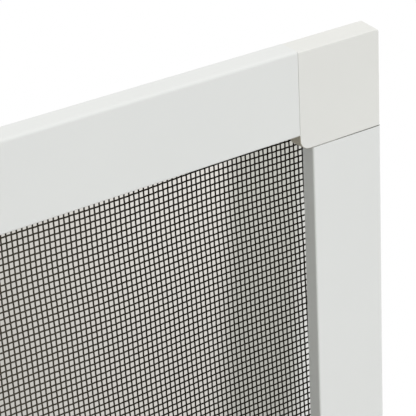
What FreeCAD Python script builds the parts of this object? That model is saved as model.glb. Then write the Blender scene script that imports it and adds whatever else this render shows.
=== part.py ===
"""Window screen frame: hollow rails, barbed corner keys, a woven screen and the spline that holds it.

The frame stands upright. X runs across it, Z up, and -Y is the smooth front. The origin is at the
middle of its bottom edge. Sizes and places are expressions on the cells of the Sizes sheet.
"""
import FreeCAD
import Part
import Sketcher
import os
import re

# Driving dimensions in millimetres
SIZES = {
    "frame_width": 450,
    "frame_height": 600,
    # Section of the rails, from the inner edge outwards
    "rail_width": 24,
    "rail_depth": 7,
    "rail_wall": 1,
    "rail_draft": 0.35,
    "lip_width": 1.2,
    "groove_width": 4.4,
    "mesh_recess": 4.5,
    "front_round": 0.9,
    "inner_round": 0.5,
    "back_round": 0.3,
    # Corner keys
    "head_overhang": 4.2,
    "head_inset": 0.18,
    "head_draft": 0.55,
    "head_inner_round": 3,
    "head_outer_round": 1,
    "head_front_round": 0.4,
    "head_chamfer": 0.12,
    "rail_seam": 0.1,
    "stile_seam": 0.2,
    "tongue_length": 30,
    "tongue_play": 0.1,
    "barb_pitch": 6,
    "barb_depth": 1,
    # Screen and spline
    "mesh_thickness": 0.4,
    "mesh_play": 0.05,
    "spline_play": 0.1,
    "bar_width": 3,
    "bar_pitch_across": 33,
    "bar_pitch_up": 34,
}
# Part of the barbs' pitch that lies before a barb's tip, and part that its slope takes
BARB_START = 0.5
BARB_SLOPE = 0.8
# Part of the screen's thickness that a slot takes: slots from both sides meet and leave an opening
SLOT_SHARE = 0.6
# Two lengths closer than this are the same
SAME = 1e-4

# Levels from front to back
FRONT = "(-rail_depth / 2)"
BACK = "(rail_depth / 2)"
PLATE_BACK = "(rail_wall - rail_depth / 2)"
TUBE_BACK = "(rail_depth / 2 - rail_wall)"
LIP_BACK = "(mesh_recess - rail_depth / 2)"
SCREEN_FRONT = "(mesh_recess - rail_depth / 2 + mesh_play)"
SCREEN_BACK = "(mesh_recess - rail_depth / 2 + mesh_play + mesh_thickness)"
FOLD_FRONT = "(rail_wall - rail_depth / 2 + mesh_play)"
# Distances outward from the frame's inner edge
SHOULDER = "(rail_width - rail_draft)"
TUBE_EDGE = "(lip_width + groove_width)"
TUBE_HOLLOW = "(lip_width + groove_width + rail_wall)"
HEAD_EDGE = "(-head_overhang)"
HEAD_OUTER = "(rail_width - head_inset)"
HEAD_SHOULDER = "(rail_width - head_inset - head_draft)"
PAST_HEAD = "(-2 * head_overhang)"
FOLD_INNER = "(lip_width + mesh_play)"
FOLD_OUTER = "(lip_width + groove_width - mesh_play)"
# Distances along a side from the frame's outer edge
HEAD = "(rail_width + head_overhang)"
RAIL_END = "(rail_width + head_overhang + rail_seam)"
STILE_END = "(rail_width + head_overhang + stile_seam)"
# The opening inside the rails
OPENING_WIDTH = "(frame_width - 2 * rail_width)"
OPENING_HEIGHT = "(frame_height - 2 * rail_width)"

doc = FreeCAD.newDocument("window_screen_frame")
sheet = doc.addObject("Spreadsheet::Sheet", "Sizes")
for row, (alias, size) in enumerate(SIZES.items(), start=1):
    sheet.set("A%d" % row, alias)
    sheet.set("B%d" % row, str(size))
    sheet.setAlias("B%d" % row, alias)
reader = doc.addObject("App::FeaturePython", "Reader")
doc.recompute()


def sized(text):
    """The expression with each size's name pointed at its cell in the sheet."""
    return re.sub("[a-z_]+", lambda word: "Sizes." + word[0] if word[0] in SIZES else word[0], text)


def value(text):
    """The number that an expression gives now."""
    return float(reader.evalExpression(sized(text)))


def across(side, outward):
    """X of a point that lies outward from the inner edge of the left (-1) or right (1) stile."""
    return "%d * (frame_width / 2 - rail_width + %s)" % (side, outward)


def up(side, outward):
    """Z of a point that lies outward from the inner edge of the bottom (-1) or top (1) rail."""
    return "frame_height / 2 + %d * (frame_height / 2 - rail_width + %s)" % (side, outward)


def same(one, other):
    """Whether two lengths agree."""
    return abs(one - other) < SAME


def new_body(name):
    """An empty body with the sub-part's name."""
    body = doc.addObject("PartDesign::Body", name)
    body.Label = name
    return body


def new_sketch(body, name, plane, level):
    """A sketch on one of the body's own planes, moved along that plane's normal to the level."""
    sketch = body.newObject("Sketcher::SketchObject", name)
    support = [part for part in body.Origin.OriginFeatures if part.Role == plane][0]
    sketch.AttachmentSupport = (support, [""])
    sketch.MapMode = "FlatFace"
    sketch.setExpression("AttachmentOffset.Base.z", sized(level))
    return sketch


def facing_sketch(body, name, level):
    """A sketch that faces the front, at a level from front to back."""
    return new_sketch(body, name, "XZ_Plane", "-" + level)


def add_polygon(sketch, points):
    """A closed polygon whose corners are held at pairs of expressions."""
    corners = [FreeCAD.Vector(value(x), value(y), 0) for x, y in points]
    first = sketch.GeometryCount
    for start, end in zip(corners, corners[1:] + corners[:1]):
        sketch.addGeometry(Part.LineSegment(start, end), False)
    for index, (x, y) in enumerate(points):
        line = first + index
        following = first + (index + 1) % len(points)
        sketch.addConstraint(Sketcher.Constraint("Coincident", line, 2, following, 1))
        hold(sketch, line, "DistanceX", x, corners[index].x, -2)
        hold(sketch, line, "DistanceY", y, corners[index].y, -1)


def hold(sketch, line, kind, text, place, axis):
    """Holds a line's start at its expression's distance from an axis, or on the axis itself."""
    if same(place, 0):
        sketch.addConstraint(Sketcher.Constraint("PointOnObject", line, 1, axis))
        return
    constraint = sketch.addConstraint(Sketcher.Constraint(kind, -1, 1, line, 1, place))
    sketch.setExpression("Constraints[%d]" % constraint, sized(text))


def rectangle(low_x, low_y, high_x, high_y):
    """Corners of a rectangle from two opposite ones."""
    return [(low_x, low_y), (high_x, low_y), (high_x, high_y), (low_x, high_y)]


def extrude(body, kind, name, sketch, length, reverse=False):
    """A pad or a pocket of a sketch."""
    feature = body.newObject("PartDesign::" + kind, name)
    feature.Profile = sketch
    feature.setExpression("Length", sized(length))
    feature.Reversed = reverse
    return feature


def dress_edges(body, kind, name, size_property, size, chosen):
    """A fillet or chamfer on the edges of the body's last feature that pass a test."""
    doc.recompute()
    base = body.Tip
    edges = enumerate(base.Shape.Edges, start=1)
    names = ["Edge%d" % number for number, edge in edges if chosen(edge, edge.CenterOfMass)]
    dressed = body.newObject("PartDesign::" + kind, name)
    dressed.Base = (base, names)
    dressed.setExpression(size_property, sized(size))
    return dressed


def round_edges(body, name, radius, chosen):
    """A fillet on the chosen edges."""
    return dress_edges(body, "Fillet", name, "Radius", radius, chosen)


def repeat(body, name, feature, axis, pitch, count):
    """A row of copies of a pad or pocket along an axis of its sketch."""
    doc.recompute()
    pattern = body.newObject("PartDesign::LinearPattern", name)
    pattern.Originals = [feature]
    pattern.Direction = (feature.Profile[0], [axis])
    pattern.Mode = "Spacing"
    pattern.setExpression("Offset", sized(pitch))
    pattern.setExpression("Occurrences", sized(count))
    body.Tip = pattern
    return pattern


def rail_section(place):
    """Outline of a rail: front plate, screen lip, spline groove and tube, with its corners set by place."""
    return [
        place("0", FRONT),
        place(SHOULDER, FRONT),
        place("rail_width", BACK),
        place(TUBE_EDGE, BACK),
        place(TUBE_EDGE, PLATE_BACK),
        place("lip_width", PLATE_BACK),
        place("lip_width", LIP_BACK),
        place("0", LIP_BACK),
    ]


def tube_hollow(place):
    """Hollow of the tube, one wall inside its outline and parallel to the leaning outer face."""
    lean = "rail_draft * rail_wall / rail_depth"
    return [
        place(TUBE_HOLLOW, PLATE_BACK),
        place("(rail_width - rail_wall - rail_draft + %s)" % lean, PLATE_BACK),
        place("(rail_width - rail_wall - %s)" % lean, TUBE_BACK),
        place(TUBE_HOLLOW, TUBE_BACK),
    ]


def make_rail(name, plane, place, start, length):
    """One straight rail; place turns a distance outward and a level into the sketch's coordinates."""
    body = new_body(name)
    section = new_sketch(body, name + "_section", plane, start)
    add_polygon(section, rail_section(place))
    add_polygon(section, tube_hollow(place))
    extrude(body, "Pad", name + "_extrusion", section, length)

    def runs_at(outward, level):
        corner = [value(text) for text in place(outward, level)]

        def chosen(edge, middle):
            on_plane = (middle.y, middle.z) if plane == "YZ_Plane" else (middle.x, middle.y)
            return all(same(one, other) for one, other in zip(on_plane, corner))

        return chosen

    round_edges(body, name + "_front_round", "front_round", runs_at(SHOULDER, FRONT))
    round_edges(body, name + "_inner_round", "inner_round", runs_at("0", FRONT))
    round_edges(body, name + "_outer_back_round", "back_round", runs_at("rail_width", BACK))
    round_edges(body, name + "_inner_back_round", "back_round", runs_at(TUBE_EDGE, BACK))
    return body


def make_rails():
    """Two rails across and two stiles up, cut short of the corner heads."""
    rails = []
    for side, name in ((1, "top_rail"), (-1, "bottom_rail")):
        rails.append(make_rail(name, "YZ_Plane", lambda outward, level: (level, up(side, outward)),
                               RAIL_END + " - frame_width / 2", "frame_width - 2 * " + RAIL_END))
    for side, name in ((-1, "left_stile"), (1, "right_stile")):
        rails.append(make_rail(name, "XY_Plane", lambda outward, level: (across(side, outward), level),
                               STILE_END, "frame_height - 2 * " + STILE_END))
    return rails


def tongue_side(tip, root):
    """One barbed side of a tongue: pairs of the reach past the head and the distance outward."""
    points = [("0", root)]
    for barb in range(int(value("floor(tongue_length / barb_pitch)")) - 1):
        crest = "%g * barb_pitch" % (barb + BARB_START)
        points.append((crest, root))
        points.append((crest, tip))
        points.append(("%g * barb_pitch" % (barb + BARB_START + BARB_SLOPE), root))
    points.append(("tongue_length", root))
    return points


def tongue_outline():
    """Both barbed sides of a tongue that fills the tube's hollow but for its play."""
    inner = "%s + tongue_play" % TUBE_HOLLOW
    outer = "%s - rail_wall - tongue_play" % SHOULDER
    near_side = tongue_side("(%s)" % inner, "(%s + barb_depth)" % inner)
    far_side = tongue_side("(%s)" % outer, "(%s - barb_depth)" % outer)
    return near_side + far_side[::-1]


def lean_outer_faces(body, name, side, level):
    """Wedges cut off a head's two outer faces, which then lean in towards the front."""
    over = new_sketch(body, name + "_over", "YZ_Plane", across(side, HEAD_OUTER))
    add_polygon(over, [
        (FRONT, up(level, HEAD_SHOULDER)),
        (BACK, up(level, HEAD_OUTER)),
        (FRONT, up(level, HEAD_OUTER)),
    ])
    beside = new_sketch(body, name + "_beside", "XY_Plane", up(level, HEAD_OUTER))
    add_polygon(beside, [
        (across(side, HEAD_SHOULDER), FRONT),
        (across(side, HEAD_OUTER), BACK),
        (across(side, HEAD_OUTER), FRONT),
    ])
    for sketch in (over, beside):
        wedge = extrude(body, "Pocket", sketch.Name + "_lean", sketch, "2 * " + HEAD)
        wedge.SideType = "Symmetric"


def make_head(body, name, side, level):
    """The square head of a corner key, with the groove turned round the corner on its back."""
    def square(inner, outer):
        return rectangle(across(side, inner), up(level, inner), across(side, outer), up(level, outer))

    face = facing_sketch(body, name + "_face", BACK)
    add_polygon(face, square(HEAD_EDGE, HEAD_OUTER))
    extrude(body, "Pad", name + "_head", face, "rail_depth")
    lean_outer_faces(body, name, side, level)

    inner_x, inner_z = value(across(side, HEAD_EDGE)), value(up(level, HEAD_EDGE))
    outer_x, outer_z = value(across(side, HEAD_OUTER)), value(up(level, HEAD_OUTER))
    draft, front = value("head_draft"), value(FRONT)
    round_edges(body, name + "_inner_corner", "head_inner_round",
                lambda edge, middle: same(middle.x, inner_x) and same(middle.z, inner_z))
    round_edges(body, name + "_outer_corner", "head_outer_round",
                lambda edge, middle: abs(middle.x - outer_x) < draft and abs(middle.z - outer_z) < draft)

    def is_outer(middle):
        return side * (2 * middle.x - inner_x - outer_x) + level * (2 * middle.z - inner_z - outer_z) > 0

    round_edges(body, name + "_outer_front", "head_front_round",
                lambda edge, middle: same(middle.y, front) and is_outer(middle))
    dress_edges(body, "Chamfer", name + "_inner_front", "Size", "head_chamfer",
                lambda edge, middle: same(middle.y, front) and not is_outer(middle))

    step = facing_sketch(body, name + "_step_outline", BACK)
    add_polygon(step, square(PAST_HEAD, TUBE_EDGE))
    extrude(body, "Pocket", name + "_step", step, "rail_depth - mesh_recess", reverse=True)
    groove = facing_sketch(body, name + "_groove_outline", LIP_BACK)
    add_polygon(groove, [
        (across(side, PAST_HEAD), up(level, "lip_width")),
        (across(side, "lip_width"), up(level, "lip_width")),
        (across(side, "lip_width"), up(level, PAST_HEAD)),
        (across(side, TUBE_EDGE), up(level, PAST_HEAD)),
        (across(side, TUBE_EDGE), up(level, TUBE_EDGE)),
        (across(side, PAST_HEAD), up(level, TUBE_EDGE)),
    ])
    extrude(body, "Pocket", name + "_groove", groove, "mesh_recess - rail_wall", reverse=True)


def make_corner(name, side, level):
    """One moulded corner key: a square head and two barbed tongues that push into the rails."""
    body = new_body(name)
    make_head(body, name, side, level)
    front = "(rail_wall + tongue_play - rail_depth / 2)"
    thickness = "rail_depth - 2 * rail_wall - 2 * tongue_play"
    reaches = [("(-head_overhang - %s)" % reach, outward) for reach, outward in tongue_outline()]
    outlines = {
        "rail": [(across(side, reach), up(level, outward)) for reach, outward in reaches],
        "stile": [(across(side, outward), up(level, reach)) for reach, outward in reaches],
    }
    for rail, outline in outlines.items():
        sketch = facing_sketch(body, "%s_%s_tongue_outline" % (name, rail), front)
        add_polygon(sketch, outline)
        extrude(body, "Pad", "%s_%s_tongue" % (name, rail), sketch, thickness, reverse=True)
    return body


def make_corners():
    """The four corner keys."""
    corners = []
    for level, height in ((1, "top"), (-1, "bottom")):
        for side, hand in ((-1, "left"), (1, "right")):
            corners.append(make_corner("corner_%s_%s" % (height, hand), side, level))
    return corners


def make_screen_wall(body):
    """A thin wall over the opening, with its edge folded down into the groove and up again all round."""
    def ring(outward):
        return rectangle(across(-1, outward), up(-1, outward), across(1, outward), up(1, outward))

    blank = facing_sketch(body, "screen_blank", SCREEN_BACK)
    add_polygon(blank, ring(FOLD_OUTER))
    extrude(body, "Pad", "screen_block", blank, "%s - %s" % (SCREEN_BACK, FOLD_FRONT))
    inside = facing_sketch(body, "screen_inside", FOLD_FRONT)
    add_polygon(inside, ring(FOLD_INNER))
    extrude(body, "Pocket", "screen_recess", inside, "%s - %s" % (SCREEN_FRONT, FOLD_FRONT))
    fold = facing_sketch(body, "screen_fold", SCREEN_BACK)
    add_polygon(fold, ring("(%s - mesh_thickness)" % FOLD_OUTER))
    add_polygon(fold, ring("(%s + mesh_thickness)" % FOLD_INNER))
    extrude(body, "Pocket", "screen_channel", fold,
            "%s - %s - mesh_thickness" % (SCREEN_BACK, FOLD_FRONT), reverse=True)


def make_screen():
    """The woven screen, drawn coarsely: upright bars in front of level ones, open between them."""
    body = new_body("screen_mesh")
    make_screen_wall(body)
    columns = "floor((%s - bar_width) / bar_pitch_across)" % OPENING_WIDTH
    rows = "floor((%s - bar_width) / bar_pitch_up)" % OPENING_HEIGHT
    reach_x = "(%s * bar_pitch_across - bar_width) / 2" % columns
    reach_z = "(%s * bar_pitch_up - bar_width) / 2" % rows
    left, right = "-" + reach_x, reach_x
    bottom, top = "frame_height / 2 - " + reach_z, "frame_height / 2 + " + reach_z
    depth = "%g * mesh_thickness" % SLOT_SHARE

    warp = facing_sketch(body, "warp_outline", SCREEN_FRONT)
    add_polygon(warp, rectangle(left, bottom, left + " + bar_pitch_across - bar_width", top))
    warp_slot = extrude(body, "Pocket", "warp_slot", warp, depth)
    repeat(body, "warp_slots", warp_slot, "H_Axis", "bar_pitch_across", columns)
    weft = facing_sketch(body, "weft_outline", SCREEN_BACK)
    add_polygon(weft, rectangle(left, bottom, right, bottom + " + bar_pitch_up - bar_width"))
    weft_slot = extrude(body, "Pocket", "weft_slot", weft, depth, reverse=True)
    repeat(body, "weft_slots", weft_slot, "V_Axis", "bar_pitch_up", rows)
    return body


def make_spline(name, start_x, start_z, length, direction):
    """A straight length of round spline cord that lies on the folded screen in the groove."""
    radius = "(groove_width / 2 - mesh_play - mesh_thickness - spline_play)"
    middle = "%s + mesh_thickness + spline_play + %s" % (FOLD_FRONT, radius)
    cord = doc.addObject("Part::Cylinder", name)
    cord.Label = name
    cord.Placement.Rotation = FreeCAD.Rotation(FreeCAD.Vector(0, 0, 1), direction)
    cord.setExpression("Radius", sized(radius))
    cord.setExpression("Height", sized(length))
    for axis, place in (("x", start_x), ("y", middle), ("z", start_z)):
        cord.setExpression("Placement.Base." + axis, sized(place))
    return cord


def make_splines():
    """Four lengths of spline; the upright ones stop short of the ones that cross their ends."""
    middle = "(lip_width + groove_width / 2)"
    level_end = "(%s - mesh_thickness - spline_play)" % FOLD_OUTER
    upright_end = "(%s + mesh_thickness)" % FOLD_INNER
    level_length = "%s + 2 * %s" % (OPENING_WIDTH, level_end)
    upright_length = "%s + 2 * %s" % (OPENING_HEIGHT, upright_end)
    cords = []
    for level, name in ((1, "spline_top"), (-1, "spline_bottom")):
        cords.append(make_spline(name, across(-1, level_end), up(level, middle), level_length,
                                 FreeCAD.Vector(1, 0, 0)))
    for side, name in ((-1, "spline_left"), (1, "spline_right")):
        cords.append(make_spline(name, across(side, middle), up(-1, upright_end), upright_length,
                                 FreeCAD.Vector(0, 0, 1)))
    return cords


parts = make_rails() + make_corners() + [make_screen()] + make_splines()
doc.recompute()

for item in doc.Objects:
    if "Invalid" in item.State or "Error" in item.State:
        raise RuntimeError("%s failed: %s" % (item.Label, item.State))
for part in parts:
    if part.Shape.isNull() or not part.Shape.isValid():
        raise RuntimeError(part.Label + " has no valid shape")
os.makedirs("parts", exist_ok=True)
for part in parts:
    part.Shape.exportStep("parts/%s.step" % part.Label)
    print(part.Label, len(part.Shape.Solids), "solid", round(part.Shape.Volume, 1), "cubic mm")
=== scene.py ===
import math

import bpy
import numpy as np
from mathutils import Matrix, Vector


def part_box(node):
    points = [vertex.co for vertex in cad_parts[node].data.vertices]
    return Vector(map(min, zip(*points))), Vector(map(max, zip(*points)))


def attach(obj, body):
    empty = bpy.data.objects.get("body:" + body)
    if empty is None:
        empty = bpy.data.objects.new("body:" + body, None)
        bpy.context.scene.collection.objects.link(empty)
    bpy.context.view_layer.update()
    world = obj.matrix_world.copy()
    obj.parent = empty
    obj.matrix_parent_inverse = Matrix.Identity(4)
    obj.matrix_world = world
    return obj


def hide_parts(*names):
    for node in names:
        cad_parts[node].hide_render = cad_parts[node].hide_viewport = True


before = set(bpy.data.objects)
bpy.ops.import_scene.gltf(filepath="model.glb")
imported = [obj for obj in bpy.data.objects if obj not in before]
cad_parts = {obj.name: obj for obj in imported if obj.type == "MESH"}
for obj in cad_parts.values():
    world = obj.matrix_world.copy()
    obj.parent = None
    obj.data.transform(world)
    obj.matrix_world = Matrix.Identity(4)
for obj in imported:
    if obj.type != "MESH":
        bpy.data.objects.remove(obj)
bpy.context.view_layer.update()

MM = 0.001

# Opening and edge of the frame in millimetres, read from the rails
INNER_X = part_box("right_stile")[0][0] / MM
OUTER_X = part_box("right_stile")[1][0] / MM
INNER_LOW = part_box("bottom_rail")[1][2] / MM
INNER_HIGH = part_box("top_rail")[0][2] / MM
INNER_MIDDLE = (INNER_LOW + INNER_HIGH) / 2
INNER_HALF = (INNER_HIGH - INNER_LOW) / 2
LIP = 1.2

# Threads of the screen in millimetres: 17 by 14 of them to the inch
INCH = 25.4
PITCH_ACROSS = INCH / 17
PITCH_UP = INCH / 14
THREAD = 0.46
THREAD_SIDES = 5
CRIMP = 0.07
CRIMP_END = 1.1
CRIMP_FADE = 2.0
WEAVE_LEVEL = 1.35
LINE_TOLERANCE = 0.09
FEWEST_POINTS = 8

# Lie of the weave in the frame: where the count of threads starts, and how far each set is turned
GRID_ORIGIN = (113.59, 635.45)
WEFT_TILT = math.radians(0.554)
WARP_LEAN = math.radians(1.502)
WARPS = range(-236, 70)
WEFTS = range(20, 350)
COUNT_STEP = 0.5

# Ripples of the weave, counted in threads: size, length and start, and how the first fades and slants
WARP_RIPPLE = 0.135
WARP_RIPPLE_LENGTH = 20.15
WARP_RIPPLE_START = 33.03
WARP_RIPPLE_FADE = 19
WARP_RIPPLE_SLANT = 0.0123
WEFT_RIPPLE = 0.144
WEFT_RIPPLE_LENGTH = 44.3
WEFT_RIPPLE_START = 4.2

# Pull of the stretched screen, in pitches: weights of 1, right, low, right * low, right ** 2 and low ** 2
PULL_ACROSS = (0.09, -0.411, 0, 0.237, -0.223, 0)
PULL_DOWN = (0.15, -0.09, -0.259, -0.085, 0, 0.278)
PULL_MIDDLE = (30, 60)
PULL_SPAN = 30
PULL_RIGHT_LIMITS = (-1.4, 1)
PULL_LOW_LIMITS = (-1, 0.8)

# Part of the weave where the threads cross over and under each other, in thread counts
FINE_LEFT = -16
FINE_LOW = 92
FINE_FADE = 6

# Fold of the screen's edge: length along the cloth past the opening, distance out from it, and level
FAR_INSIDE = -1000
FOLD_STOPS = [
    (FAR_INSIDE, FAR_INSIDE, WEAVE_LEVEL),
    (0, 0, WEAVE_LEVEL),
    (1.3, 1.47, WEAVE_LEVEL),
    (4.9, 1.6, -2.2),
    (8.8, 5.2, -2.2),
    (13.0, 5.31, 2.1),
]
FOLD_REACH, FOLD_OUT, FOLD_LEVEL = zip(*FOLD_STOPS)
FOLD_RISE = 9.0
FOLD_END = FOLD_REACH[-1]

# Ribs of the spline cord in millimetres
RIB_PITCH = 1.6
RIB_SHARE = 0.55
RIB_DEPTH = 0.14
CORD_SIDES = 16

# Colours of the materials, some from a darker to a lighter tone, and the painted shade of the seams on the
# cut ends
PAINT = ((0.779, 0.802, 0.805), (0.799, 0.822, 0.825))
PLASTIC = ((0.785, 0.798, 0.784), (0.805, 0.818, 0.804))
# Painted shade and dust on the corner's walls that face the opening
PLASTIC_SHADE_AND_DUST = (0.5, 0.47, 0.39)
COATING = ((0.006, 0.005, 0.003), (0.013, 0.011, 0.0065))
COATING_SHEEN = (1, 0.9, 0.65)
THREAD_DUST = (0.067, 0.06, 0.047)
RUBBER = ((0.018, 0.018, 0.018), (0.05, 0.049, 0.047))
# Painted shade of the seams, put on the cut ends: even on the rails, lighter inside and darker outside on
# the stiles
RAIL_SEAM_SHADE = (0.48, 0.48, 0.485)
STILE_SEAM_SHADE_INNER = (0.85, 0.85, 0.83)
STILE_SEAM_SHADE_OUTER = (0.38, 0.38, 0.365)
TONE_SPAN = (0.3, 0.7)
PAINT_ROUGHNESS = (0.52, 0.62)
CREASE_ANGLE = math.radians(30)

# A face is a cut end where its normal is this much along the length
SQUARE_ON = 0.95

# How far the corner's walls face the opening where their painted shade and dust start, and where they are
# full
SHADE_AND_DUST_FACING = (-0.03, -0.15)

# Distance in metres from the screen's middle where the dust on its threads starts, and where it is full
DUST_REACH = (0.16, 0.095)

# Camera and the light of the room, in metres
EYE = (-0.07151, -0.34759, 0.75518)
EYE_TURN = -34.634
EYE_TILT = 65.521
EYE_ROLL = -3.091
LENS = 155.21
SENSOR = 36.0
ROOM_LEVEL = 0.69
ROOM_LEAN = (0.52, -0.24, 0.36)
ROOM_DARKEST = 0.02
OVERHEAD_TINT = (0.99, 0.965, 0.95)
LEFT_TINT = (1, 1, 0.85)
WHITE = (1, 1, 1)
SOFTBOX_PLACE = (0.9, -1.0, 2.9)
SOFTBOX_TARGET = (0, 0, 0.4)
SOFTBOX_SIZE = 1.6
SOFTBOX_POWER = 8
FLOOR_COLOUR = (0.725, 0.725, 0.72)
FLOOR_HALF = 8.0
FLOOR_DROP = 0.0005
FLOOR_FADE = (0.45, 0.85)

# Painted shade in the backdrop: a grey patch seen through the screen, placed by where a line of sight from
# 1 m up would meet the ground.
# Each edge has the direction across it, where the patch has ended and where it is whole.
PAINTED_SHADE_SIDEWAYS = (0.7975, -0.6033, 0)
PAINTED_SHADE_ONWARD = (0.6061, 0.7954, 0)
PAINTED_SHADE_EDGES = [
    ((0.0116, 0.9999, 0), 2.254, 1.975),
    ((0.775, -0.632, 0), -0.013, -0.0655),
    (PAINTED_SHADE_SIDEWAYS, -0.83, -0.417),
    (PAINTED_SHADE_ONWARD, 1.036, 1.582),
]
# Tones of the painted shade: pale, with a darker band and a darker rim on its right side, and dimmer
# further on
PAINTED_SHADE_PALE = (0.771, 0.749, 0.705)
PAINTED_SHADE_DUSKY = (0.64, 0.624, 0.583)
PAINTED_SHADE_RIM = (0.557, 0.557, 0.51)
PAINTED_SHADE_DUSKY_REACH = (-0.126, -0.389)
PAINTED_SHADE_RIM_REACH = (-0.0846, -0.0487)
PAINTED_SHADE_DIM_REACH = (2.29, 1.609)
PAINTED_SHADE_DIM = 0.84
LEAST_FALL = -0.001


# Shader nodes

def feed(tree, node, sockets):
    """Sets each socket of a node to a value, or links it to an output of another node."""
    for name, value in sockets.items():
        socket = node.inputs[name]
        if isinstance(value, bpy.types.NodeSocket):
            tree.links.new(value, socket)
        elif socket.type == "RGBA":
            socket.default_value = (*value, 1)
        else:
            socket.default_value = value


def add_node(tree, kind, sockets=None, **settings):
    """Adds a shader node with its settings and what goes into it."""
    node = tree.nodes.new("ShaderNode" + kind)
    for name, value in settings.items():
        setattr(node, name, value)
    feed(tree, node, sockets or {})
    return node


def calculate(tree, operation, one, other=0.0):
    return add_node(tree, "Math", {0: one, 1: other}, operation=operation).outputs["Value"]


def combine(tree, operation, one, other=(0, 0, 0)):
    return add_node(tree, "VectorMath", {0: one, 1: other}, operation=operation).outputs["Vector"]


def scaled(tree, vector, factor):
    return add_node(tree, "VectorMath", {0: vector, "Scale": factor}, operation="SCALE").outputs["Vector"]


def along(tree, place, direction):
    """How far a place lies along a direction."""
    return add_node(tree, "VectorMath", {0: place, 1: direction}, operation="DOT_PRODUCT").outputs["Value"]


def ease(tree, value, start, end, low=0.0, high=1.0):
    """Goes softly from low, where the value is at its start, to high at its end."""
    sockets = {"Value": value, "From Min": start, "From Max": end, "To Min": low, "To Max": high}
    return add_node(tree, "MapRange", sockets, interpolation_type="SMOOTHSTEP").outputs["Result"]


def blend(tree, factor, one, other):
    """From one colour to the other."""
    return add_node(tree, "Mix", {"Factor": factor, 6: one, 7: other}, data_type="RGBA").outputs[2]


def colour_ramp(tree, factor, colours, span=(0, 1)):
    """From the first colour to the last, over a span of the factor."""
    ramp = add_node(tree, "ValToRGB", {"Fac": factor})
    for stop, position, colour in zip(ramp.color_ramp.elements, span, colours):
        stop.position = position
        stop.color = (*colour, 1)
    return ramp.outputs["Color"]


def surface(tree, output):
    """A fact about the point being shaded, such as its Position."""
    return add_node(tree, "NewGeometry").outputs[output]


def noise(tree, scale, detail):
    sockets = {"Vector": surface(tree, "Position"), "Scale": scale, "Detail": detail}
    return add_node(tree, "TexNoise", sockets).outputs["Fac"]


def bump(tree, height, strength, distance):
    sockets = {"Height": height, "Strength": strength, "Distance": distance}
    return add_node(tree, "Bump", sockets).outputs["Normal"]


def seen_ray(tree):
    """1 for rays that show the background: straight from the camera, in a reflection or through glass."""
    path = add_node(tree, "LightPath").outputs
    total = path["Is Camera Ray"]
    for ray in ("Is Glossy Ray", "Is Transmission Ray"):
        both = {0: total, 1: path[ray]}
        total = add_node(tree, "Math", both, operation="ADD", use_clamp=True).outputs["Value"]
    return total


# Materials

def new_material(name):
    material = bpy.data.materials.new(name)
    material.use_nodes = True
    return material, material.node_tree, material.node_tree.nodes["Principled BSDF"]


def painted_metal(name, length_axis, inner_seam_shade, outer_seam_shade):
    """White paint with a fine orange peel. The cut ends, square to the length, carry painted shade of the
    seams, darker towards the outer edge on the stiles.
    """
    material, tree, shader = new_material(name)
    tone = noise(tree, scale=14, detail=4)
    paint = colour_ramp(tree, tone, PAINT, TONE_SPAN)
    facing = calculate(tree, "ABSOLUTE", along(tree, surface(tree, "True Normal"), length_axis))
    cut_end = calculate(tree, "GREATER_THAN", facing, SQUARE_ON)
    # Painted shade of the seams on the cut ends, darker towards the outer edge
    aside = calculate(tree, "ABSOLUTE", along(tree, surface(tree, "Position"), (1, 0, 0)))
    cut = blend(tree, ease(tree, aside, INNER_X * MM, OUTER_X * MM), inner_seam_shade, outer_seam_shade)
    roughness = {"Value": tone, "To Min": PAINT_ROUGHNESS[0], "To Max": PAINT_ROUGHNESS[1]}
    feed(tree, shader, {
        "Base Color": blend(tree, cut_end, paint, cut),
        "Roughness": add_node(tree, "MapRange", roughness).outputs["Result"],
        "Normal": bump(tree, noise(tree, scale=900, detail=3), strength=0.06, distance=0.0001),
    })
    return material


def moulded_plastic():
    """Slightly warmer white with a fine moulded grain, with painted shade and dust on the walls that face
    the opening.
    """
    material, tree, shader = new_material("corner_plastic")
    clean = colour_ramp(tree, noise(tree, scale=30, detail=3), PLASTIC, TONE_SPAN)
    outward = combine(tree, "SUBTRACT", surface(tree, "Position"), (0, 0, INNER_MIDDLE * MM))
    facing = along(tree, surface(tree, "True Normal"), outward)
    reach = add_node(tree, "SeparateXYZ", {"Vector": combine(tree, "ABSOLUTE", outward)}).outputs
    # Painted shade and dust on the walls inside the opening that face its middle
    shade_and_dust = ease(tree, facing, *SHADE_AND_DUST_FACING)
    for axis, half in (("X", INNER_X), ("Z", INNER_HALF)):
        shade_and_dust = calculate(tree, "MULTIPLY", shade_and_dust, calculate(tree, "LESS_THAN", reach[axis], half * MM))
    feed(tree, shader, {
        "Base Color": blend(tree, shade_and_dust, clean, PLASTIC_SHADE_AND_DUST),
        "Roughness": 0.68,
        "Normal": bump(tree, noise(tree, scale=2200, detail=2), strength=0.1, distance=0.00005),
    })
    return material


def coated_thread():
    """Black coated thread, with brown dust on the middle of the screen."""
    material, tree, shader = new_material("screen_thread")
    coating = colour_ramp(tree, noise(tree, scale=160, detail=3), COATING)
    aside = calculate(tree, "ABSOLUTE", along(tree, surface(tree, "Position"), (1, 0, 0)))
    dust = ease(tree, aside, *DUST_REACH)
    feed(tree, shader, {
        "Base Color": blend(tree, dust, coating, THREAD_DUST),
        "Roughness": 0.6,
        "Specular IOR Level": 0.1,
        "Specular Tint": COATING_SHEEN,
    })
    return material


def spline_rubber():
    material, tree, shader = new_material("spline_rubber")
    feed(tree, shader, {
        "Base Color": colour_ramp(tree, noise(tree, scale=60, detail=4), RUBBER),
        "Roughness": 0.7,
    })
    return material


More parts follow.
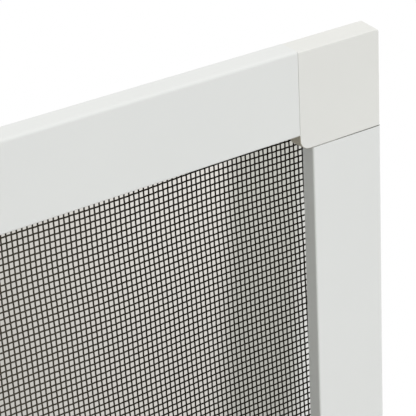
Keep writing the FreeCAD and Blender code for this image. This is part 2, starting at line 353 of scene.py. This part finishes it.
def dress(node, material):
    """Puts a material on a CAD node, with its flat faces kept crisp and its rounds smooth."""
    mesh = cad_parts[node].data
    mesh.materials.clear()
    mesh.materials.append(material)
    mesh.polygons.foreach_set("use_smooth", [True] * len(mesh.polygons))
    mesh.set_sharp_from_angle(angle=CREASE_ANGLE)


# Tubes

def new_piece(name, points, faces):
    """A smooth mesh from points in millimetres."""
    mesh = bpy.data.meshes.new(name)
    mesh.from_pydata((points * MM).tolist(), [], faces)
    mesh.polygons.foreach_set("use_smooth", [True] * len(mesh.polygons))
    mesh.update()
    piece = bpy.data.objects.new(name, mesh)
    bpy.context.scene.collection.objects.link(piece)
    return piece


def tube_points(line, radius, sides):
    """Rings of points round a line; the radius is one number, or one for each point of the line."""
    reference = np.array([1.0, 0, 1.0])
    turn = np.arange(sides) * 2 * math.pi / sides
    tangent = np.gradient(line, axis=0)
    tangent /= np.linalg.norm(tangent, axis=1)[:, None]
    side = reference - (tangent @ reference)[:, None] * tangent
    side /= np.linalg.norm(side, axis=1)[:, None]
    other = np.cross(tangent, side)
    spoke = np.cos(turn)[None, :, None] * side[:, None] + np.sin(turn)[None, :, None] * other[:, None]
    rings = line[:, None] + np.reshape(radius, (-1, 1, 1)) * spoke
    return rings.reshape(-1, 3)


def tube_faces(stops, sides, first):
    """Faces of a closed tube whose points start at the number given."""
    ring = np.arange(sides)
    here = first + np.arange(stops - 1)[:, None] * sides + ring
    after = first + np.arange(stops - 1)[:, None] * sides + (ring + 1) % sides
    walls = np.stack([here, after, after + sides, here + sides], axis=2).reshape(-1, 4).tolist()
    start_cap = (first + ring[::-1]).tolist()
    end_cap = (first + (stops - 1) * sides + ring).tolist()
    return walls + [start_cap, end_cap]


def tubes(name, lines, radius, sides):
    """One piece of round tubes along the lines."""
    points = []
    faces = []
    total = 0
    for line in lines:
        points.append(tube_points(line, radius, sides))
        faces += tube_faces(len(line), sides, total)
        total += len(line) * sides
    return new_piece(name, np.concatenate(points), faces)


# Woven screen

def past_opening(flat):
    """How far points of the flat screen lie past the opening, sideways and up or down."""
    return np.abs(flat[:, 0]) - INNER_X, np.abs(flat[:, 1] - INNER_MIDDLE) - INNER_HALF


def fold(flat):
    """Places points of the flat screen in the frame, with its edges folded into the groove."""
    past_x, past_z = past_opening(flat)
    level_x = np.interp(past_x, FOLD_REACH, FOLD_LEVEL)
    level_z = np.interp(past_z, FOLD_REACH, FOLD_LEVEL)
    deepest = np.minimum(level_x, level_z)
    furthest = np.maximum(past_x, past_z)
    rising = np.interp(furthest, FOLD_REACH, FOLD_LEVEL)
    x = np.sign(flat[:, 0]) * (INNER_X + np.interp(past_x, FOLD_REACH, FOLD_OUT))
    y = np.where(furthest > FOLD_RISE, rising, deepest)
    upward = np.sign(flat[:, 1] - INNER_MIDDLE)
    z = INNER_MIDDLE + upward * (INNER_HALF + np.interp(past_z, FOLD_REACH, FOLD_OUT))
    return np.stack([x, y, z], axis=1)


def grid_point(u, v):
    """Points of the flat screen at thread counts u across and v down."""
    x = GRID_ORIGIN[0] + u * PITCH_ACROSS * math.cos(WEFT_TILT) + v * PITCH_UP * math.sin(WARP_LEAN)
    z = GRID_ORIGIN[1] + u * PITCH_ACROSS * math.sin(WEFT_TILT) - v * PITCH_UP * math.cos(WARP_LEAN)
    return np.stack([x, z], axis=1)


def warp_ripple(u, v):
    """Sideways ripple of the upright threads, in pitches: it fades away from the top edge."""
    below = v - WARP_RIPPLE_START - WARP_RIPPLE_SLANT * u
    fade = np.exp(-np.clip(below, 0, None) / WARP_RIPPLE_FADE)
    return WARP_RIPPLE * fade * np.cos(2 * math.pi * below / WARP_RIPPLE_LENGTH)


def weft_ripple(u):
    """Rise and fall of the level threads, in pitches."""
    return WEFT_RIPPLE * np.sin(2 * math.pi * (u - WEFT_RIPPLE_START) / WEFT_RIPPLE_LENGTH)


def pull(u, v):
    """How far the stretched screen is pulled out of its even grid, across and down, in pitches."""
    right = np.clip((u - PULL_MIDDLE[0]) / PULL_SPAN, *PULL_RIGHT_LIMITS)
    low = np.clip((v - PULL_MIDDLE[1]) / PULL_SPAN, *PULL_LOW_LIMITS)
    terms = [np.ones_like(right), right, low, right * low, right ** 2, low ** 2]
    return np.dot(PULL_ACROSS, terms), np.dot(PULL_DOWN, terms)


def fine_zone(u, v):
    """1 where the threads cross over and under, near the upper right corner, and 0 well away."""
    return np.clip((u - FINE_LEFT) / FINE_FADE, 0, 1) * np.clip((FINE_LOW - v) / FINE_FADE, 0, 1)


def warp_line(number):
    """One upright thread of the flat screen, and how far it is to the back along its length."""
    v = np.arange(WEFTS.start, WEFTS.stop, COUNT_STEP)
    straight = np.full_like(v, number)
    u = straight + warp_ripple(straight, v) + pull(straight, v)[0]
    zone = fine_zone(u, v)
    return grid_point(u, v), zone * np.cos(math.pi * (v + number)) + (1 - zone)


def weft_line(number):
    """One level thread of the flat screen, and how far it is to the back along its length."""
    u = np.arange(WARPS.start, WARPS.stop, COUNT_STEP)
    straight = np.full_like(u, number)
    v = straight + weft_ripple(u) + pull(u, straight)[1]
    zone = fine_zone(u, v)
    return grid_point(u, v), -zone * np.cos(math.pi * (u + number)) - (1 - zone)


def simplify(points):
    """Drops the points of a line that its neighbours already give."""
    keep = np.zeros(len(points), bool)
    keep[[0, -1]] = True
    todo = [(0, len(points) - 1)]
    while todo:
        first, last = todo.pop()
        if last - first < 2:
            continue
        span = points[last] - points[first]
        rest = points[first + 1:last] - points[first]
        share = np.clip(rest @ span / max(span @ span, 1e-12), 0, 1)
        away = np.linalg.norm(rest - share[:, None] * span, axis=1)
        furthest = first + 1 + int(away.argmax())
        if away.max() > LINE_TOLERANCE:
            keep[furthest] = True
            todo += [(first, furthest), (furthest, last)]
    return points[keep]


def folded_threads(counts, flat_line):
    """The centre lines of one set of threads, cut off at the screen's edge and at its corners."""
    lines = []
    for number in counts:
        flat, weave = flat_line(number)
        past_x, past_z = past_opening(flat)
        furthest = np.maximum(past_x, past_z)
        kept = (furthest < FOLD_END) & ((past_x <= LIP) | (past_z <= LIP))
        if kept.sum() < FEWEST_POINTS:
            continue
        line = fold(flat[kept])
        flatness = np.clip((CRIMP_END - furthest[kept]) / CRIMP_FADE, 0, 1)
        line[:, 1] += CRIMP * weave[kept] * flatness
        lines.append(simplify(line))
    return lines


def add_screen():
    lines = folded_threads(WARPS, warp_line) + folded_threads(WEFTS, weft_line)
    screen = tubes("screen_weave", lines, THREAD / 2, THREAD_SIDES)
    screen.data.materials.append(coated_thread())
    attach(screen, "root")
    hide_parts("screen_mesh")


# Spline cords

def add_spline(node, material):
    """A ribbed round cord in place of a plain one, along its longest side."""
    low, high = (np.array(corner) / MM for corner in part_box(node))
    size = high - low
    axis = int(size.argmax())
    ribs = int(size[axis] / RIB_PITCH)
    pitch = size[axis] / ribs
    starts = np.arange(ribs) * pitch
    stops = np.append(np.stack([starts, starts + RIB_SHARE * pitch], axis=1).ravel(), size[axis])
    radius = (size[2] if axis == 0 else size[0]) / 2
    radii = np.append(np.tile([radius, radius - RIB_DEPTH], ribs), radius)
    line = np.tile((low + high) / 2, (len(stops), 1))
    line[:, axis] = low[axis] + stops
    cord = tubes(node + "_cord", [line], radii, CORD_SIDES)
    cord.data.materials.append(material)
    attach(cord, "root")
    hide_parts(node)


# Stage, light and camera

def make_floor():
    """A pale floor that keeps the shadow near the frame and fades away further out."""
    corners = [(-1, -1), (1, -1), (1, 1), (-1, 1)]
    points = [(x * FLOOR_HALF, y * FLOOR_HALF, -FLOOR_DROP) for x, y in corners]
    mesh = bpy.data.meshes.new("floor")
    mesh.from_pydata(points, [], [(0, 1, 2, 3)])
    floor = bpy.data.objects.new("floor", mesh)
    bpy.context.scene.collection.objects.link(floor)
    material, tree, shader = new_material("floor")
    feed(tree, shader, {"Base Color": FLOOR_COLOUR, "Roughness": 0.9})
    place = {0: surface(tree, "Position")}
    reach = add_node(tree, "VectorMath", place, operation="LENGTH").outputs["Value"]
    gone = calculate(tree, "MULTIPLY", seen_ray(tree), ease(tree, reach, *FLOOR_FADE))
    clear = add_node(tree, "BsdfTransparent").outputs["BSDF"]
    mix = add_node(tree, "MixShader", {"Fac": gone, 1: shader.outputs["BSDF"], 2: clear})
    feed(tree, tree.nodes["Material Output"], {"Surface": mix.outputs["Shader"]})
    mesh.materials.append(material)


def backdrop(tree, direction):
    """White all round, but for a grey patch of painted shade low on the right, which shows through the
    screen.
    """
    fall = add_node(tree, "SeparateXYZ", {"Vector": direction}).outputs["Z"]
    stretch = calculate(tree, "DIVIDE", -1, calculate(tree, "MINIMUM", fall, LEAST_FALL))
    spot = scaled(tree, direction, stretch)
    sideways = along(tree, spot, PAINTED_SHADE_SIDEWAYS)
    onward = along(tree, spot, PAINTED_SHADE_ONWARD)
    # Painted shade: a darker band and a darker rim on the right side of the patch, and dimmer further on
    tone = blend(tree, ease(tree, sideways, *PAINTED_SHADE_DUSKY_REACH), PAINTED_SHADE_PALE, PAINTED_SHADE_DUSKY)
    tone = blend(tree, ease(tree, sideways, *PAINTED_SHADE_RIM_REACH), tone, PAINTED_SHADE_RIM)
    dimming = ease(tree, onward, *PAINTED_SHADE_DIM_REACH, 1.0, PAINTED_SHADE_DIM)
    dim = scaled(tree, tone, dimming)
    # The patch of painted shade fades out at each of its edges
    painted_shade = 1.0
    for across, outside, inside in PAINTED_SHADE_EDGES:
        painted_shade = calculate(tree, "MULTIPLY", painted_shade, ease(tree, along(tree, spot, across), outside, inside))
    return blend(tree, painted_shade, WHITE, dim)


def make_world():
    """A soft room, brightest above, in front and to the right. The camera sees the backdrop instead."""
    world = bpy.data.worlds.new("studio")
    world.use_nodes = True
    tree = world.node_tree
    direction = add_node(tree, "TexCoord").outputs["Generated"]
    parts = add_node(tree, "SeparateXYZ", {"Vector": direction}).outputs
    level = calculate(tree, "ADD", along(tree, direction, ROOM_LEAN), ROOM_LEVEL)
    overhead = colour_ramp(tree, parts["Z"], (WHITE, OVERHEAD_TINT))
    leftness = {"Value": parts["X"], "From Min": -1, "From Max": 0}
    aside = add_node(tree, "MapRange", leftness).outputs["Result"]
    left = colour_ramp(tree, aside, (LEFT_TINT, WHITE))
    tints = {"Factor": 1, 6: overhead, 7: left}
    tint = add_node(tree, "Mix", tints, data_type="RGBA", blend_type="MULTIPLY").outputs[2]
    light = tree.nodes["Background"]
    feed(tree, light, {"Color": tint, "Strength": calculate(tree, "MAXIMUM", level, ROOM_DARKEST)})
    seen = add_node(tree, "Background", {"Color": backdrop(tree, direction), "Strength": 1.0})
    shown = {"Fac": seen_ray(tree), 1: light.outputs["Background"], 2: seen.outputs["Background"]}
    mix = add_node(tree, "MixShader", shown)
    feed(tree, tree.nodes["World Output"], {"Surface": mix.outputs["Shader"]})
    bpy.context.scene.world = world


def make_light(name, location, target, size, power):
    data = bpy.data.lights.new(name, "AREA")
    data.shape = "DISK"
    data.size = size
    data.energy = power
    light = bpy.data.objects.new(name, data)
    light.location = location
    light.rotation_euler = (Vector(target) - Vector(location)).to_track_quat("-Z", "Y").to_euler()
    bpy.context.scene.collection.objects.link(light)


def make_camera():
    data = bpy.data.cameras.new("camera")
    data.lens = LENS
    data.sensor_width = SENSOR
    data.clip_start = 0.01
    camera = bpy.data.objects.new("camera", data)
    camera.matrix_world = Matrix.Translation(EYE)
    for angle, axis in ((EYE_TURN, "Z"), (EYE_TILT, "X"), (EYE_ROLL, "Z")):
        camera.matrix_world = camera.matrix_world @ Matrix.Rotation(math.radians(angle), 4, axis)
    bpy.context.scene.collection.objects.link(camera)
    bpy.context.scene.camera = camera


add_screen()
rubber = spline_rubber()
for spline in ("spline_top", "spline_bottom", "spline_left", "spline_right"):
    add_spline(spline, rubber)

finishes = {
    "rail": painted_metal("rail_paint", (1, 0, 0), RAIL_SEAM_SHADE, RAIL_SEAM_SHADE),
    "stile": painted_metal("stile_paint", (0, 0, 1), STILE_SEAM_SHADE_INNER, STILE_SEAM_SHADE_OUTER),
    "corner": moulded_plastic(),
}
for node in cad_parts:
    for word, finish in finishes.items():
        if word in node.split("_"):
            dress(node, finish)

make_floor()
make_world()
make_light("softbox", SOFTBOX_PLACE, SOFTBOX_TARGET, SOFTBOX_SIZE, SOFTBOX_POWER)
make_camera()
bpy.context.scene.view_settings.view_transform = "Standard"
